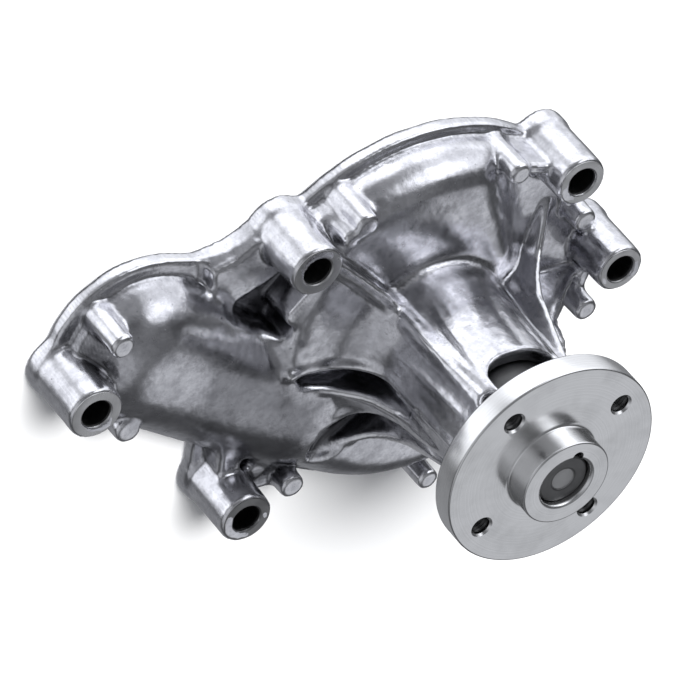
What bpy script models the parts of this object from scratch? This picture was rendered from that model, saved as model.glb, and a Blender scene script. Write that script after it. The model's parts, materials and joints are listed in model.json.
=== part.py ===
"""Engine coolant pump: a die-cast housing that carries an integral shaft bearing,
a drive hub, a mechanical seal and an impeller.

The frame: +Z runs along the shaft, out of the drive hub. The flat gasket face of the
housing lies at Z = 0 and the shaft axis is the Z axis. +X points at the side lobe.
All sizes are in metres.
"""
import math

import bmesh
import bpy
from mathutils import Matrix, Vector

MM = 0.001
MERGE = 0.00001          # merge distance for turned shapes and welded caps
GAP = 0.3 * MM           # space left between pieces that touch

# Drive hub
HUB_FACE_Z = 97 * MM
HUB_RADIUS = 39 * MM
HUB_THICKNESS = 8.5 * MM
SPIGOT_RADIUS = 16.25 * MM
SPIGOT_HEIGHT = 9.1 * MM
HUB_HOLE_CIRCLE = 30 * MM      # radius of the circle of tapped holes
HUB_HOLE_RADIUS = 3.5 * MM
HUB_HOLE_COUNT = 4
HUB_HOLE_START = 37.5          # degrees

# Shaft and bearing
SHAFT_RADIUS = 9.3 * MM
SEAL_SEAT_RADIUS = 8.0 * MM
IMPELLER_SEAT_RADIUS = 7.5 * MM
SHAFT_FRONT_Z = 104.4 * MM
SHAFT_REAR_Z = 1.0 * MM
BEARING_RADIUS = 19.05 * MM
BEARING_BORE = 14.6 * MM
BEARING_REAR_Z = 34 * MM
BEARING_FRONT_Z = 84 * MM
LIP_SEAL_RECESS = 17 * MM
LIP_SEAL_DEPTH = 3 * MM
BALL_RADIUS = 3.3 * MM
BALL_PITCH_RADIUS = 12.4 * MM
BALL_COUNT = 8
BALL_ROWS = {"rear": 46 * MM, "front": 72 * MM}
GROOVE_RADIUS = BALL_RADIUS + 0.25 * MM

# Housing
FLANGE_THICKNESS = 5.5 * MM
FLANGE_RADIUS = 72 * MM
TERRACE_Z = 20 * MM
SNOUT_RADIUS = 24.5 * MM
SNOUT_END_Z = 82 * MM
CHAMBER_ROOF_Z = 16 * MM
CHAMBER_RADIUS = 64 * MM
WALL = 4.5 * MM
SEAL_BORE = 18.3 * MM
SEAL_BORE_TOP_Z = 27 * MM
DRAIN_BORE = 15 * MM
LOBE_CENTRE = (104 * MM, -13 * MM)
DUCT_END = (45 * MM, 24.6 * MM)
DUCT_RADIUS = 28 * MM
DUCT_HEIGHT = 24 * MM
LOBE_RIM_RADIUS = 33.3 * MM
BOSS_HEIGHT = 29 * MM
BOSS_HOLE_RADIUS = 5.25 * MM
PAD_RADIUS = 4 * MM

# Fixing bosses: centre x, centre y, outer radius
BOSSES = {
    "lobe": (131.9 * MM, -11.0 * MM, 9.9 * MM),
    "saddle": (54.5 * MM, -46.0 * MM, 9.6 * MM),
    "upper": (-46.1 * MM, -54.5 * MM, 9.3 * MM),
    "far": (-69.7 * MM, -11.0 * MM, 9.0 * MM),
    "lower": (69.0 * MM, 54.8 * MM, 9.75 * MM),
}

# Ejector pads: centre x, centre y, height above the gasket face
PADS = (
    (121.8 * MM, -32.1 * MM, 25 * MM),
    (113.5 * MM, 9.2 * MM, 20 * MM),
    (45.7 * MM, 55.9 * MM, 20 * MM),
    (35.9 * MM, -55.1 * MM, 25 * MM),
    (-23.6 * MM, -60.6 * MM, 25 * MM),
    (-58.3 * MM, -28.2 * MM, 20 * MM),
    (-64.0 * MM, 10.2 * MM, 20 * MM),
    (-10.9 * MM, 71.6 * MM, 20 * MM),
)

# Webs that tie bosses and pads together: from, to, height, half thickness
WEBS = (
    ((35.9, -55.1), (54.5, -46.0), 23, 3.5),
    ((-23.6, -60.6), (-46.1, -54.5), 22, 4.0),
    ((-58.3, -28.2), (-69.7, -11.0), 18, 3.0),
    ((-58.3, -28.2), (-46.1, -54.5), 14, 3.0),
    ((69.0, 54.8), (45.7, 55.9), 16, 4.0),
    ((69.0, 54.8), (70.0, 26.0), 16, 5.0),
)

# Radial ribs of the snout: azimuth in degrees, thickness, crest as (radius, height)
RIBS = (
    (-44, 4.0, ((61, 23), (28, 28), (27.5, 62))),
    (0, 3.4, ((56, 25), (40, 26.5), (31, 32), (27, 41), (26.2, 74))),
    (20, 3.0, ((54, 20), (32, 36), (27, 50), (26, 72))),
    (60, 3.0, ((64, 11), (55, 16), (43, 25), (36, 38), (29, 60), (26, 74))),
    (-158, 3.0, ((50, 15), (40, 23), (36, 38), (30, 56), (26, 66))),
    (180, 3.0, ((62, 15), (44, 32), (36, 48), (27, 66))),
)

# Round holes through the snout's wall: name, radius, azimuth in degrees, height, sides.
# The window and the notch run out of the snout's end.
SNOUT_HOLES = (
    ("drain", 3 * MM, 97, 30 * MM, 16),
    ("window", 14 * MM, -98, 79 * MM, 24),
    ("notch", 3 * MM, -48, 80 * MM, 12),
)

# Mechanical seal, from the impeller up
IMPELLER_RADIUS = 36 * MM
IMPELLER_TOP_Z = 11.7 * MM
SHROUD_THICKNESS = 2.5 * MM
VANE_COUNT = 6
VANE_THICKNESS = 2.6 * MM
BOOT_Z = (12.0 * MM, 15.4 * MM)
MATING_RING_Z = (13.5 * MM, 16.3 * MM)
CARBON_Z = (16.6 * MM, 20.0 * MM)
RETAINER_Z = (20.3 * MM, 21.3 * MM)
SPRING_Z = (21.6 * MM, 25.2 * MM)
CASE_Z = (15.5 * MM, 26.5 * MM)
SLINGER_Z = (30.0 * MM, 31.4 * MM)

STEPS_LARGE = 60
STEPS_MEDIUM = 40
STEPS_SMALL = 24
STEPS_HOLE = 16


def clear_scene():
    for obj in list(bpy.data.objects):
        bpy.data.objects.remove(obj, do_unlink=True)


def new_collection(name):
    collection = bpy.data.collections.new(name)
    bpy.context.scene.collection.children.link(collection)
    return collection


def new_material(name, colour, roughness, metallic):
    material = bpy.data.materials.new(name)
    material.use_nodes = True
    shader = material.node_tree.nodes["Principled BSDF"]
    shader.inputs["Base Color"].default_value = (*colour, 1.0)
    shader.inputs["Roughness"].default_value = roughness
    shader.inputs["Metallic"].default_value = metallic
    return material


clear_scene()
PUMP = new_collection("water_pump")
CUTTERS = new_collection("cutters")

CAST = new_material("cast_aluminium", (0.62, 0.62, 0.65), 0.38, 1.0)
STEEL = new_material("turned_steel", (0.66, 0.65, 0.63), 0.28, 1.0)
BEARING_STEEL = new_material("bearing_steel", (0.58, 0.58, 0.60), 0.18, 1.0)
SEAL_STEEL = new_material("stainless_sheet", (0.70, 0.70, 0.70), 0.30, 1.0)
NYLON = new_material("cage_nylon", (0.75, 0.70, 0.58), 0.50, 0.0)
RUBBER = new_material("black_rubber", (0.03, 0.03, 0.03), 0.70, 0.0)
CARBON = new_material("carbon_graphite", (0.06, 0.06, 0.07), 0.35, 0.0)
CERAMIC = new_material("ceramic", (0.85, 0.84, 0.80), 0.25, 0.0)
IRON = new_material("cast_iron", (0.25, 0.24, 0.23), 0.60, 1.0)


def add_object(name, mesh, material=None):
    """Links a mesh as a part, or as a cutter when it has no material."""
    obj = bpy.data.objects.new(name, mesh)
    if material:
        PUMP.objects.link(obj)
        mesh.materials.append(material)
        mesh.shade_smooth()
        mesh.set_sharp_from_angle(angle=math.radians(35))
    else:
        CUTTERS.objects.link(obj)
        obj.hide_render = True
        obj.display_type = "WIRE"
    return obj


def turned(name, profile, material=None, centre=(0, 0), steps=STEPS_MEDIUM, closed=True):
    """A profile of (radius, z) turned about a vertical axis at centre.

    The profile runs down its outer side. A ring's profile is a closed loop, and a solid
    of revolution starts and ends on the axis.
    """
    mesh = bpy.data.meshes.new(name)
    points = [(radius, 0, z) for radius, z in profile]
    edges = [(i, i + 1) for i in range(len(points) - 1)]
    if closed:
        edges.append((len(points) - 1, 0))
    mesh.from_pydata(points, edges, [])
    obj = add_object(name, mesh, material)
    obj.location = (centre[0], centre[1], 0)
    screw = obj.modifiers.new("turn", "SCREW")
    screw.steps = steps
    screw.render_steps = steps
    screw.use_merge_vertices = True
    screw.merge_threshold = MERGE
    return obj


def ring(name, inner, outer, low, high, material=None, steps=STEPS_MEDIUM):
    """A plain ring between two radii and two heights."""
    profile = ((outer, high), (outer, low), (inner, low), (inner, high))
    return turned(name, profile, material, steps=steps)


def rod(name, radius, start, end, material=None, steps=STEPS_HOLE):
    """A straight cylinder from one point to another."""
    start, end = Vector(start), Vector(end)
    axis = end - start
    builder = bmesh.new()
    bmesh.ops.create_cone(
        builder, cap_ends=True, segments=steps, radius1=radius, radius2=radius, depth=axis.length)
    turn = axis.to_track_quat("Z", "Y").to_matrix().to_4x4()
    bmesh.ops.transform(
        builder, matrix=Matrix.Translation((start + end) / 2) @ turn, verts=builder.verts)
    mesh = bpy.data.meshes.new(name)
    builder.to_mesh(mesh)
    builder.free()
    return add_object(name, mesh, material)


def plate(name, outline, low, high, material=None):
    """A flat outline in X and Y, filled and given a thickness between two heights."""
    curve = bpy.data.curves.new(name, "CURVE")
    curve.dimensions = "2D"
    curve.fill_mode = "BOTH"
    curve.extrude = (high - low) / 2
    spline = curve.splines.new("POLY")
    spline.points.add(len(outline) - 1)
    for point, (x, y) in zip(spline.points, outline):
        point.co = (x, y, 0, 1)
    spline.use_cyclic_u = True
    guide = bpy.data.objects.new(name + "_curve", curve)
    CUTTERS.objects.link(guide)
    bpy.context.view_layer.update()
    evaluated = guide.evaluated_get(bpy.context.evaluated_depsgraph_get())
    mesh = bpy.data.meshes.new_from_object(evaluated)
    bpy.data.objects.remove(guide)
    builder = bmesh.new()
    builder.from_mesh(mesh)
    bmesh.ops.remove_doubles(builder, verts=builder.verts, dist=MERGE)
    bmesh.ops.translate(builder, vec=(0, 0, (low + high) / 2), verts=builder.verts)
    bmesh.ops.recalc_face_normals(builder, faces=builder.faces)
    builder.to_mesh(mesh)
    builder.free()
    mesh.materials.clear()
    mesh.name = name
    return add_object(name, mesh, material)


def radial_plate(name, crest, azimuth, thickness):
    """A flat rib in the plane of the axis: its outline is (radius, z), turned to an azimuth."""
    obj = plate(name, crest, -thickness / 2, thickness / 2)
    stand_up = Matrix.Rotation(math.radians(90), 4, "X")
    obj.data.transform(Matrix.Rotation(math.radians(azimuth), 4, "Z") @ stand_up)
    return obj


def combine(target, operation, pieces):
    """Joins pieces to the target, or cuts them out of it."""
    group = bpy.data.collections.new(target.name + "_" + operation.lower())
    CUTTERS.children.link(group)
    for piece in pieces:
        CUTTERS.objects.unlink(piece)
        group.objects.link(piece)
    boolean = target.modifiers.new(operation.lower(), "BOOLEAN")
    boolean.operation = operation
    boolean.operand_type = "COLLECTION"
    boolean.collection = group
    boolean.solver = "EXACT"


def polar(radius, degrees):
    angle = math.radians(degrees)
    return (radius * math.cos(angle), radius * math.sin(angle))


def arc(centre, radius, first, last, count):
    """Points on an arc from one azimuth to another."""
    angles = [first + (last - first) * i / (count - 1) for i in range(count)]
    return [(centre[0] + polar(radius, a)[0], centre[1] + polar(radius, a)[1]) for a in angles]


def scaled(points):
    """Points given in millimetres, in metres."""
    return [(x * MM, y * MM) for x, y in points]


def duct_shape(name, radius, height, low):
    """A rounded tunnel from the lobe to the chamber: the hull of two half ellipsoids."""
    builder = bmesh.new()
    for centre in (LOBE_CENTRE, DUCT_END):
        for level in range(5):
            tilt = math.radians(22 * level)
            ring_radius = radius * math.cos(tilt)
            for x, y in arc(centre, ring_radius, 0, 345, 24):
                builder.verts.new((x, y, height * math.sin(tilt)))
        for x, y in arc(centre, radius, 0, 345, 24):
            builder.verts.new((x, y, low))
    result = bmesh.ops.convex_hull(builder, input=builder.verts)
    inside = [v for v in result["geom_interior"] if isinstance(v, bmesh.types.BMVert)]
    bmesh.ops.delete(builder, geom=inside, context="VERTS")
    bmesh.ops.recalc_face_normals(builder, faces=builder.faces)
    mesh = bpy.data.meshes.new(name)
    builder.to_mesh(mesh)
    builder.free()
    return add_object(name, mesh)


def web(name, start, end, height, half):
    """An upright wall between two places on the flange."""
    along = Vector((end[0] - start[0], end[1] - start[1])).normalized()
    side = Vector((-along.y, along.x)) * half
    corners = (
        (start[0] + side.x, start[1] + side.y), (start[0] - side.x, start[1] - side.y),
        (end[0] - side.x, end[1] - side.y), (end[0] + side.x, end[1] + side.y))
    return plate(name, scaled(corners), 1 * MM, height * MM)


def housing_additions():
    """Everything cast onto the round part of the housing."""
    pieces = [duct_shape("duct_outer", DUCT_RADIUS, DUCT_HEIGHT, 0.0)]
    rim = arc(LOBE_CENTRE, LOBE_RIM_RADIUS, -100, 8, 14) + [LOBE_CENTRE]
    pieces.append(plate("lobe_rim", rim, 0, FLANGE_THICKNESS))
    saddle = scaled((
        (98, -45.6), (82, -42.5), (73.5, -43.5), (60, -56.3), (48, -50), (48, -20), (104, -20)))
    pieces.append(plate("saddle_flange", saddle, 0, FLANGE_THICKNESS))
    foot = scaled(((86, 30), (80, 40), (79, 56), (66, 64.5), (50, 61), (45, 40)))
    pieces.append(plate("lower_flange", foot, 0, FLANGE_THICKNESS))
    land = scaled((
        (82, -40.5), (73.5, -41.5), (69, -44.5), (55, -34), (57, -31.5), (76, -22.5), (84, -26)))
    pieces.append(plate("land", land, 1 * MM, 10.5 * MM))
    corners = ((20, -44), (61, -44), (58, -28), (57, -14), (56, 0), (20, 0))
    fill = scaled([polar(radius, azimuth) for radius, azimuth in corners])
    pieces.append(plate("sector_fill", fill, 12 * MM, 24.5 * MM))
    for name, (x, y, radius) in BOSSES.items():
        pieces.append(rod(name + "_boss", radius, (x, y, 0), (x, y, BOSS_HEIGHT), steps=28))
    for index, (x, y, height) in enumerate(PADS):
        pieces.append(rod(f"pad_{index}", PAD_RADIUS, (x, y, 1 * MM), (x, y, height), steps=14))
    for index, (start, end, height, half) in enumerate(WEBS):
        pieces.append(web(f"web_{index}", start, end, height, half))
    for index, (azimuth, thickness, crest) in enumerate(RIBS):
        outline = [(22, crest[-1][1])] + [(22, 13)] + [(crest[0][0], 10)] + list(crest)
        pieces.append(radial_plate(f"rib_{index}", scaled(outline), azimuth, thickness * MM))
    return pieces


def housing_hollows():
    """The pump chamber, outlet duct, bores, drain, windows and bolt holes."""
    chamber = turned(
        "chamber", scaled(((0, 16), (54, 16), (60, 12), (63.5, 6.5), (64, -1), (0, -1))),
        steps=STEPS_LARGE, closed=False)
    tongue_outline = scaled(((54, -8), (50, -24), (54, -36), (90, -34), (72, -4)))
    tongue = plate("tongue", tongue_outline, -2 * MM, 30 * MM)
    combine(chamber, "DIFFERENCE", [tongue])
    inner = (DUCT_RADIUS - WALL, DUCT_HEIGHT - WALL)
    pieces = [chamber, duct_shape("duct_inner", inner[0], inner[1], -1 * MM)]
    bores = (
        (0, SNOUT_END_Z + 1 * MM), (BEARING_RADIUS + GAP, SNOUT_END_Z + 1 * MM),
        (BEARING_RADIUS + GAP, BEARING_REAR_Z - GAP), (DRAIN_BORE, BEARING_REAR_Z - GAP),
        (DRAIN_BORE, SEAL_BORE_TOP_Z), (SEAL_BORE, SEAL_BORE_TOP_Z),
        (SEAL_BORE, CHAMBER_ROOF_Z - 1 * MM), (0, CHAMBER_ROOF_Z - 1 * MM))
    pieces.append(turned("bores", bores, steps=STEPS_MEDIUM, closed=False))
    for name, (x, y, _) in BOSSES.items():
        low, high = (x, y, -1 * MM), (x, y, BOSS_HEIGHT + 1 * MM)
        pieces.append(rod(name + "_hole", BOSS_HOLE_RADIUS, low, high))
    for name, radius, azimuth, height, steps in SNOUT_HOLES:
        start = (*polar(10 * MM, azimuth), height)
        end = (*polar(45 * MM, azimuth), height)
        pieces.append(rod(name, radius, start, end, steps=steps))
    return pieces


def make_housing():
    """The die-cast body with its gasket flange, volute, outlet lobe and bearing snout."""
    profile = scaled((
        (0, 82), (23.5, 82), (24.5, 81), (25.6, 30), (26.6, 24), (30, TERRACE_Z / MM),
        (56, TERRACE_Z / MM), (62, 17.5), (66.5, 12), (68, 6.5), (68, 5.5), (72, 5.5), (72, 0), (0, 0)))
    body = turned("pump_body", profile, CAST, steps=STEPS_LARGE, closed=False)
    recess = scaled(((58, -12), (55, -26), (57, -31.5), (76, -22.5), (84, -26), (84, -8), (66, -6)))
    combine(body, "DIFFERENCE", [plate("recess", recess, 5 * MM, 40 * MM)])
    combine(body, "UNION", housing_additions())
    combine(body, "DIFFERENCE", housing_hollows())
    return body


def make_hub():
    """The drive hub: a flat pulley flange with a locating spigot, pressed on the shaft."""
    bore = SHAFT_RADIUS + GAP
    rear = HUB_FACE_Z - HUB_THICKNESS
    spigot_top = HUB_FACE_Z + SPIGOT_HEIGHT
    edge = 0.8 * MM
    collar = 17 * MM
    profile = (
        (bore + 0.6 * MM, spigot_top), (SPIGOT_RADIUS - edge, spigot_top),
        (SPIGOT_RADIUS, spigot_top - edge), (SPIGOT_RADIUS, HUB_FACE_Z + 1.2 * MM),
        (SPIGOT_RADIUS + 1.2 * MM, HUB_FACE_Z), (HUB_RADIUS - edge, HUB_FACE_Z),
        (HUB_RADIUS, HUB_FACE_Z - edge), (HUB_RADIUS, rear + edge), (HUB_RADIUS - edge, rear),
        (collar, rear), (collar, rear - 2 * MM), (bore, rear - 2 * MM), (bore, spigot_top - 0.6 * MM))
    hub = turned("hub_flange", profile, STEEL, steps=48)
    cuts = []
    for index in range(HUB_HOLE_COUNT):
        x, y = polar(HUB_HOLE_CIRCLE, HUB_HOLE_START + 360 / HUB_HOLE_COUNT * index)
        cuts.append(rod(f"hub_hole_{index}", HUB_HOLE_RADIUS, (x, y, rear - MM), (x, y, HUB_FACE_Z + MM)))
    x, y = polar(bore + 0.9 * MM, 255)
    cuts.append(rod("key_notch", 1.5 * MM, (x, y, rear - 4 * MM), (x, y, spigot_top + MM), steps=10))
    combine(hub, "DIFFERENCE", cuts)


def groove(centre_z, wall_radius, outward):
    """Profile points of a ball groove, from its upper edge down to its lower edge."""
    reach = abs(wall_radius - BALL_PITCH_RADIUS)
    half = math.acos(reach / GROOVE_RADIUS)
    sign = 1 if outward else -1
    points = []
    for index in range(5):
        angle = half * (1 - index / 2)
        radius = BALL_PITCH_RADIUS + sign * GROOVE_RADIUS * math.cos(angle)
        points.append((radius, centre_z + GROOVE_RADIUS * math.sin(angle)))
    return points


def make_bearing():
    """Integral bearing: the shaft is the inner race of two ball rows in one outer ring."""
    edge = 0.8 * MM
    seat_z = SLINGER_Z[1] + 1.2 * MM
    profile = [
        (0, 98 * MM), (1.2 * MM, 98.4 * MM), (4.5 * MM, SHAFT_FRONT_Z),
        (SHAFT_RADIUS - edge, SHAFT_FRONT_Z), (SHAFT_RADIUS, SHAFT_FRONT_Z - edge)]
    for row in ("front", "rear"):
        profile += groove(BALL_ROWS[row], SHAFT_RADIUS, outward=False)
    profile += [
        (SHAFT_RADIUS, seat_z), (SEAL_SEAT_RADIUS, seat_z),
        (SEAL_SEAT_RADIUS, IMPELLER_TOP_Z), (IMPELLER_SEAT_RADIUS, IMPELLER_TOP_Z),
        (IMPELLER_SEAT_RADIUS, SHAFT_REAR_Z + edge), (IMPELLER_SEAT_RADIUS - edge, SHAFT_REAR_Z),
        (0, SHAFT_REAR_Z)]
    turned("bearing_shaft", profile, BEARING_STEEL, steps=STEPS_SMALL, closed=False)

    inside = [(LIP_SEAL_RECESS, BEARING_REAR_Z), (LIP_SEAL_RECESS, BEARING_REAR_Z + LIP_SEAL_DEPTH),
              (BEARING_BORE, BEARING_REAR_Z + LIP_SEAL_DEPTH)]
    for row in ("rear", "front"):
        inside += list(reversed(groove(BALL_ROWS[row], BEARING_BORE, outward=True)))
    inside += [(BEARING_BORE, BEARING_FRONT_Z - LIP_SEAL_DEPTH),
               (LIP_SEAL_RECESS, BEARING_FRONT_Z - LIP_SEAL_DEPTH), (LIP_SEAL_RECESS, BEARING_FRONT_Z)]
    outside = [(BEARING_RADIUS - edge, BEARING_FRONT_Z), (BEARING_RADIUS, BEARING_FRONT_Z - edge),
               (BEARING_RADIUS, BEARING_REAR_Z + edge), (BEARING_RADIUS - edge, BEARING_REAR_Z)]
    turned("bearing_outer_ring", outside + inside, BEARING_STEEL, steps=32)

    seal_inner = SHAFT_RADIUS + GAP
    seal_outer = LIP_SEAL_RECESS - GAP
    low = BEARING_FRONT_Z - LIP_SEAL_DEPTH + GAP
    ring("bearing_seal_front", seal_inner, seal_outer, low, BEARING_FRONT_Z - GAP, RUBBER, 32)
    high = BEARING_REAR_Z + LIP_SEAL_DEPTH - GAP
    ring("bearing_seal_rear", seal_inner, seal_outer, BEARING_REAR_Z + GAP, high, RUBBER, 32)

    for row, centre_z in BALL_ROWS.items():
        make_ball_row(row, centre_z)


def make_ball_row(row, centre_z):
    """One row of balls in its cage."""
    half_height = 4.3 * MM
    cage = ring(f"ball_cage_{row}", 11.2 * MM, 13.6 * MM, centre_z - half_height,
                centre_z + half_height, NYLON, STEPS_SMALL)
    pockets = []
    for index in range(BALL_COUNT):
        angle = 360 / BALL_COUNT * index
        inner = (*polar(9 * MM, angle), centre_z)
        outer = (*polar(16 * MM, angle), centre_z)
        pockets.append(rod(f"{row}_pocket_{index}", BALL_RADIUS + GAP, inner, outer, steps=12))
        mesh = bpy.data.meshes.new(f"ball_{row}_{index + 1}")
        builder = bmesh.new()
        bmesh.ops.create_uvsphere(builder, u_segments=10, v_segments=6, radius=BALL_RADIUS)
        builder.to_mesh(mesh)
        builder.free()
        ball = add_object(f"bearing_ball_{row}_{index + 1}", mesh, BEARING_STEEL)
        ball.location = (*polar(BALL_PITCH_RADIUS, angle), centre_z)
    combine(cage, "DIFFERENCE", pockets)


def make_seal():
    """Mechanical seal: a sprung carbon face on the housing, a ceramic face on the impeller."""
    shaft = SEAL_SEAT_RADIUS
    wall = 1 * MM
    case_outer = SEAL_BORE - GAP
    low, high = CASE_Z
    turned("seal_case", (
        (case_outer, high), (case_outer, low), (case_outer - wall, low),
        (case_outer - wall, high - wall), (10.5 * MM, high - wall), (10.5 * MM, high)),
        SEAL_STEEL, steps=32)

    turned("seal_spring_retainer", (
        (15.6 * MM, RETAINER_Z[1]), (15.6 * MM, RETAINER_Z[0] - 2 * MM),
        (14.8 * MM, RETAINER_Z[0] - 2 * MM),
        (14.8 * MM, RETAINER_Z[0]), (9.6 * MM, RETAINER_Z[0]), (9.6 * MM, RETAINER_Z[1])),
        SEAL_STEEL, steps=32)
    turned("seal_carbon_ring", (
        (14.4 * MM, CARBON_Z[1]), (14.4 * MM, CARBON_Z[0] + 1.6 * MM), (12.6 * MM, CARBON_Z[0] + 1.2 * MM),
        (12.6 * MM, CARBON_Z[0]), (9.4 * MM, CARBON_Z[0]), (9.4 * MM, CARBON_Z[1])),
        CARBON, steps=32)
    turned("seal_bellows", (
        (11.6 * MM, SPRING_Z[1]), (11.6 * MM, 24.3 * MM), (10.6 * MM, 23.4 * MM), (11.6 * MM, 22.5 * MM),
        (11.6 * MM, SPRING_Z[0]), (9.6 * MM, SPRING_Z[0]), (9.6 * MM, SPRING_Z[1])), RUBBER, steps=32)

    make_spring()

    turned("seal_boot", (
        (15.2 * MM, BOOT_Z[1]), (15.2 * MM, BOOT_Z[0]), (shaft + GAP, BOOT_Z[0]),
        (shaft + GAP, MATING_RING_Z[0] - GAP), (14.2 * MM, MATING_RING_Z[0] - GAP), (14.2 * MM, BOOT_Z[1])),
        RUBBER, steps=32)
    ring("seal_mating_ring", shaft + 2 * GAP, 13.9 * MM, *MATING_RING_Z, CERAMIC, 32)
    ring("slinger_ring", shaft + GAP, 13.5 * MM, *SLINGER_Z, RUBBER, 32)


def make_spring():
    """The coil spring that presses the carbon face on the ceramic one."""
    wire = 0.55 * MM
    coil_radius = 13.4 * MM
    turns = 2
    sides = 18
    low, high = SPRING_Z[0] + wire, SPRING_Z[1] - wire
    curve = bpy.data.curves.new("seal_spring", "CURVE")
    curve.dimensions = "3D"
    curve.bevel_depth = wire
    curve.bevel_resolution = 1
    curve.use_fill_caps = True
    spline = curve.splines.new("POLY")
    count = turns * sides + 1
    spline.points.add(count - 1)
    for index, point in enumerate(spline.points):
        x, y = polar(coil_radius, 360 * index / sides)
        point.co = (x, y, low + (high - low) * index / (count - 1), 1)
    curve.materials.append(SEAL_STEEL)
    PUMP.objects.link(bpy.data.objects.new("seal_spring", curve))


def vane_outline(azimuth):
    """A backward-curved vane: a spiral of constant thickness."""
    inner, outer, sweep, count = 11 * MM, IMPELLER_RADIUS - 1.5 * MM, 55, 7
    left, right = [], []
    for index in range(count):
        part = index / (count - 1)
        radius = inner + (outer - inner) * part
        angle = azimuth - sweep * part
        half = math.degrees(VANE_THICKNESS / 2 / radius) * 1.2
        left.append(polar(radius, angle + half))
        right.append(polar(radius, angle - half))
    return left + list(reversed(right))


def make_impeller():
    """The open impeller: a hub and a shroud with curved vanes towards the gasket side."""
    bore = IMPELLER_SEAT_RADIUS + GAP
    top = IMPELLER_TOP_Z - GAP
    shroud_low = top - SHROUD_THICKNESS
    rear = SHAFT_REAR_Z + 0.5 * MM
    profile = (
        (IMPELLER_RADIUS, top), (IMPELLER_RADIUS, shroud_low), (14 * MM, shroud_low),
        (13 * MM, rear), (bore, rear), (bore, top))
    impeller = turned("impeller", profile, IRON, steps=48)
    vanes = [plate(f"vane_{i}", vane_outline(360 / VANE_COUNT * i), rear, shroud_low + 1 * MM)
             for i in range(VANE_COUNT)]
    combine(impeller, "UNION", vanes)
    holes = [rod(f"balance_hole_{i}", 2 * MM, (*polar(18 * MM, 20 + 180 * i), 5 * MM),
                 (*polar(18 * MM, 20 + 180 * i), 13 * MM), steps=12) for i in range(2)]
    combine(impeller, "DIFFERENCE", holes)


make_housing()
make_hub()
make_bearing()
make_seal()
make_impeller()
bpy.context.view_layer.update()
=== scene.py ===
"""The look of an engine water pump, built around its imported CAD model.

The cast housing is shaped as a distance field in millimetres, so that every wall, rib and
boss runs into its neighbour with a foundry's fillet, and is meshed from that. The turned
pieces are profiles swept round the shaft axis. +Z is the shaft, out of the drive hub.
"""
import json
import math

import bmesh
import bpy
import numpy as np
import openvdb
from mathutils import Matrix, Vector


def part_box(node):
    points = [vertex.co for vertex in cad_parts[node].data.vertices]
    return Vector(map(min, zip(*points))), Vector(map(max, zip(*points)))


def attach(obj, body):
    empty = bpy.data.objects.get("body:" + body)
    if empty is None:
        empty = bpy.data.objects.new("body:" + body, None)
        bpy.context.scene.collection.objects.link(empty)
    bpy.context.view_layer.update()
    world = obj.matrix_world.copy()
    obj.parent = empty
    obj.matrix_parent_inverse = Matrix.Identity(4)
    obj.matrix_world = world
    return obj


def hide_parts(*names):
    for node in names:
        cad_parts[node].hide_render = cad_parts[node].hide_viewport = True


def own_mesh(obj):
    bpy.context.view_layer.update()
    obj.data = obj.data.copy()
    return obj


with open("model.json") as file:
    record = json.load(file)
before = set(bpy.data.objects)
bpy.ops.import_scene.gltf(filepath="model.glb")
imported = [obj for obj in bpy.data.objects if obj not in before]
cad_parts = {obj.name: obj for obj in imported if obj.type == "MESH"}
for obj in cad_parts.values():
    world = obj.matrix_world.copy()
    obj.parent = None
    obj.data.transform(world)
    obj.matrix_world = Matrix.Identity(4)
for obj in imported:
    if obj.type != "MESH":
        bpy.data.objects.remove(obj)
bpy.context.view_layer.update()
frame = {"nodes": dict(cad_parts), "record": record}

MM = 0.001
VOXEL = 0.8        # millimetres between the field's samples
FAR = 40.0               # the distance that empty parts of a field hold

# ---------------------------------------------------------------- housing, millimetres
FLANGE_THICKNESS = 5.5
FLANGE_RADIUS = 72.0
SHOULDER_RADIUS = 68.0
SNOUT_RADIUS = 24.5
SNOUT_END = 82.0
SNOUT_DRAFT = 0.022
CHAMBER_ROOF = 16.0
CHAMBER_RADIUS = 64.0
WALL = 4.5
WALL_LEFT = 2.4          # the least wall between the duct's hollow and the outside's pockets
BEARING_BORE = 19.35
BEARING_REAR = 33.7
SEAL_BORE = 18.3
SEAL_BORE_TOP = 27.0
DRAIN_BORE = 15.0
WINDOW_AZIMUTH = -101.0
WINDOW_HALF_WIDTH = 15.5
WINDOW_SILL = 66.0
LOBE = np.array((104.0, -13.0))
DUCT_END = np.array((45.0, 24.6))
DUCT_RADIUS = 28.0
DUCT_HEIGHT = 24.0
LOBE_RIM = 33.3
BOSS_HEIGHT = 29.0
BOSS_HOLE = 5.25

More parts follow.
